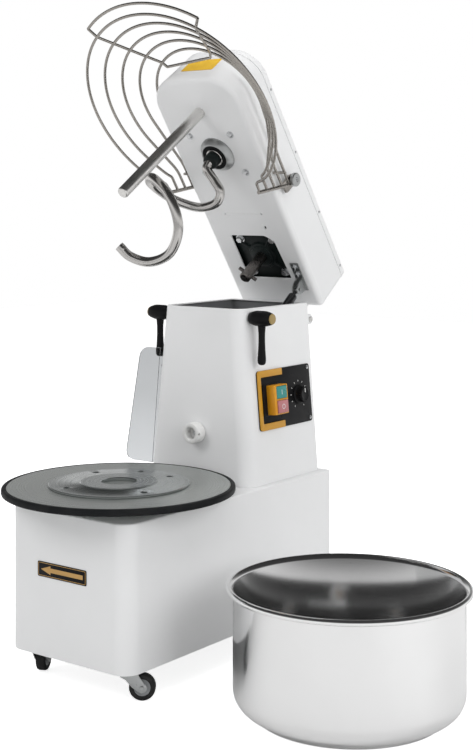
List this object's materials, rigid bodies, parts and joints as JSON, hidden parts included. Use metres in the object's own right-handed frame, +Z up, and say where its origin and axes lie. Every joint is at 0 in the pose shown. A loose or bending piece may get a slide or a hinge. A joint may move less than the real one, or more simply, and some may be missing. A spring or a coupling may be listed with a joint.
{
  "type": "spiral dough mixer",
  "caption": "Floor-standing spiral dough mixer with a tilting head, wire bowl guard, driven turntable, swivel casters and a lift-out stainless bowl.",
  "frame": {"origin": "middle of the bottom of the whole object's bounding box, on the floor, with the head raised and the bowl standing on the floor beside the mixer", "axes": "+Z up, +Y towards the back of the mixer, +X to the right as seen by the operator standing in front of the turntable"},
  "size_m": [0.9326, 0.8854, 1.325],
  "materials": {
    "white_enamel": "satin",
    "stainless": "polished",
    "zinc_plate": "satin",
    "black_rubber": "matte",
    "black_plastic": "satin",
    "yellow_plastic": "satin",
    "orange_plastic": "satin",
    "green_plastic": "satin",
    "red_plastic": "satin",
    "clear_plastic": "clear",
    "white_nylon": "satin",
    "cast_iron": "painted",
    "disc_metal": "satin"
  },
  "bodies": {
    "frame": {"base_housing": "white_enamel", "base_plate": "zinc_plate", "cable_gland": "black_plastic", "direction_label": "black_plastic", "service_cover": "white_enamel", "column_housing": "white_enamel", "bowl_bumper": "white_nylon", "splash_guard": "clear_plastic", "control_panel": "black_plastic", "panel_bezel": "yellow_plastic", "switch_box": "orange_plastic", "switch_body": "black_plastic", "timer_body": "black_plastic", "gear_motor": "cast_iron", "turntable_chain": "zinc_plate", "turntable_bearing": "cast_iron", "column_hinge_bracket": "white_enamel", "hinge_pin": "stainless", "strut_base_bracket": "zinc_plate"},
    "head": {"head_housing": "white_enamel", "head_cover": "white_enamel", "head_hinge_bracket": "white_enamel", "nose_label": "yellow_plastic", "breaker_bar": "stainless", "breaker_bar_nut": "zinc_plate", "spindle_bearing": "zinc_plate", "spindle_seal": "black_rubber", "head_gear_plate": "cast_iron", "head_chain": "zinc_plate", "strut_bracket": "zinc_plate", "guard_pivot_right": "zinc_plate", "guard_pivot_left": "zinc_plate"},
    "spiral": {"spindle_shaft": "stainless", "spiral_hook": "stainless"},
    "head_drive": {"head_drive_shaft": "stainless"},
    "guard": {"guard_basket": "stainless"},
    "turntable": {"turntable_shaft": "zinc_plate", "turntable_disc": "disc_metal", "turntable_trim": "black_rubber", "hub_plate": "zinc_plate"},
    "column_drive": {"drive_coupling": "stainless", "drive_sprocket": "zinc_plate"},
    "start_button": {"start_button": "green_plastic"},
    "stop_button": {"stop_button": "red_plastic"},
    "timer_knob": {"timer_knob": "black_plastic"},
    "clamp_right": {"clamp_lever_right": "black_plastic", "clamp_cap_right": "yellow_plastic"},
    "clamp_left": {"clamp_lever_left": "black_plastic", "clamp_cap_left": "yellow_plastic"},
    "strut_upper": {"strut_cylinder": "black_plastic"},
    "strut_lower": {"strut_rod": "stainless"},
    "bowl": {"bowl": "stainless"},
    "swivel_front_right": {"caster_fork_front_right": "zinc_plate"},
    "wheel_front_right": {"caster_wheel_front_right": "black_rubber"},
    "swivel_front_left": {"caster_fork_front_left": "zinc_plate"},
    "wheel_front_left": {"caster_wheel_front_left": "black_rubber"},
    "swivel_back_right": {"caster_fork_back_right": "zinc_plate"},
    "wheel_back_right": {"caster_wheel_back_right": "black_rubber"},
    "swivel_back_left": {"caster_fork_back_left": "zinc_plate"},
    "wheel_back_left": {"caster_wheel_back_left": "black_rubber"}
  },
  "joints": [
    {"name": "head_tilt", "type": "hinge", "parent": "frame", "child": "head", "pos_m": [-0.23625, 0.3103, 0.6645], "axis": [1, 0, 0], "range_deg": [0, 55]},
    {"name": "guard_swing", "type": "hinge", "parent": "head", "child": "guard", "pos_m": [-0.23625, 0.20655, 0.97395], "axis": [1, 0, 0], "range_deg": [-60, 0]},
    {"name": "spiral_spin", "type": "hinge", "parent": "head", "child": "spiral", "pos_m": [-0.23625, 0.1002, 1.02645], "axis": [0, 0.8192, 0.5736], "continuous": true},
    {"name": "head_drive_spin", "type": "hinge", "parent": "head", "child": "head_drive", "pos_m": [-0.23625, 0.25908, 0.79954], "axis": [0, 0.8192, 0.5736], "continuous": true},
    {"name": "turntable_spin", "type": "hinge", "parent": "frame", "child": "turntable", "pos_m": [-0.23625, -0.21269, 0.37], "axis": [0, 0, 1], "continuous": true},
    {"name": "column_drive_spin", "type": "hinge", "parent": "frame", "child": "column_drive", "pos_m": [-0.23625, 0.17031, 0.6], "axis": [0, 0, 1], "continuous": true},
    {"name": "start_press", "type": "slide", "parent": "frame", "child": "start_button", "axis": [-0.996, 0, -0.0893], "range_m": [0, 0.003], "stiffness_N_per_m": 900, "springref_m": -0.001},
    {"name": "stop_press", "type": "slide", "parent": "frame", "child": "stop_button", "axis": [-0.996, 0, -0.0893], "range_m": [0, 0.003], "stiffness_N_per_m": 900, "springref_m": -0.001},
    {"name": "timer_turn", "type": "hinge", "parent": "frame", "child": "timer_knob", "pos_m": [-0.1023, 0.22731, 0.50989], "axis": [-0.996, 0, -0.0893], "range_deg": [0, 300]},
    {"name": "clamp_right_turn", "type": "hinge", "parent": "frame", "child": "clamp_right", "pos_m": [-0.09625, 0.0753, 0.684], "axis": [1, 0, 0], "range_deg": [-90, 120]},
    {"name": "clamp_left_turn", "type": "hinge", "parent": "frame", "child": "clamp_left", "pos_m": [-0.37625, 0.0753, 0.684], "axis": [1, 0, 0], "range_deg": [-5, 120]},
    {"name": "strut_swing", "type": "hinge", "parent": "head", "child": "strut_upper", "pos_m": [-0.15625, 0.28785, 0.73057], "axis": [1, 0, 0], "range_deg": [-58.6, 0]},
    {"name": "strut_slide", "type": "slide", "parent": "strut_upper", "child": "strut_lower", "axis": [0, -0.7888, -0.6146], "range_m": [-0.0645, 0]},
    {"name": "bowl_lift", "type": "slide", "parent": "frame", "child": "bowl", "axis": [0, 0, 1], "range_m": [0, 0.3]},
    {"name": "caster_swivel_front_right", "type": "hinge", "parent": "frame", "child": "swivel_front_right", "pos_m": [-0.12025, -0.3167, 0.05], "axis": [0, 0, 1], "continuous": true},
    {"name": "wheel_spin_front_right", "type": "hinge", "parent": "swivel_front_right", "child": "wheel_front_right", "pos_m": [-0.09869, -0.30045, 0.025], "axis": [-0.6018, 0.7986, 0], "continuous": true},
    {"name": "caster_swivel_front_left", "type": "hinge", "parent": "frame", "child": "swivel_front_left", "pos_m": [-0.35225, -0.3167, 0.05], "axis": [0, 0, 1], "continuous": true},
    {"name": "wheel_spin_front_left", "type": "hinge", "parent": "swivel_front_left", "child": "wheel_front_left", "pos_m": [-0.36451, -0.29264, 0.025], "axis": [-0.891, -0.454, 0], "continuous": true},
    {"name": "caster_swivel_back_right", "type": "hinge", "parent": "frame", "child": "swivel_back_right", "pos_m": [-0.12025, 0.26231, 0.05], "axis": [0, 0, 1], "continuous": true},
    {"name": "wheel_spin_back_right", "type": "hinge", "parent": "swivel_back_right", "child": "wheel_back_right", "pos_m": [-0.10675, 0.28569, 0.025], "axis": [-0.866, 0.5, 0], "continuous": true},
    {"name": "caster_swivel_back_left", "type": "hinge", "parent": "frame", "child": "swivel_back_left", "pos_m": [-0.35225, 0.26231, 0.05], "axis": [0, 0, 1], "continuous": true},
    {"name": "wheel_spin_back_left", "type": "hinge", "parent": "swivel_back_left", "child": "wheel_back_left", "pos_m": [-0.35694, 0.2889, 0.025], "axis": [-0.9848, -0.1736, 0], "continuous": true}
  ],
  "couplings": [
    {"joint": "head_drive_spin", "follows": "spiral_spin", "ratio": 2.6667},
    {"joint": "column_drive_spin", "follows": "turntable_spin", "ratio": 3},
    {"joint": "strut_swing", "follows": "head_tilt", "ratio": -1.0568},
    {"joint": "strut_slide", "follows": "head_tilt", "m_per_rad": -0.066154}
  ]
}
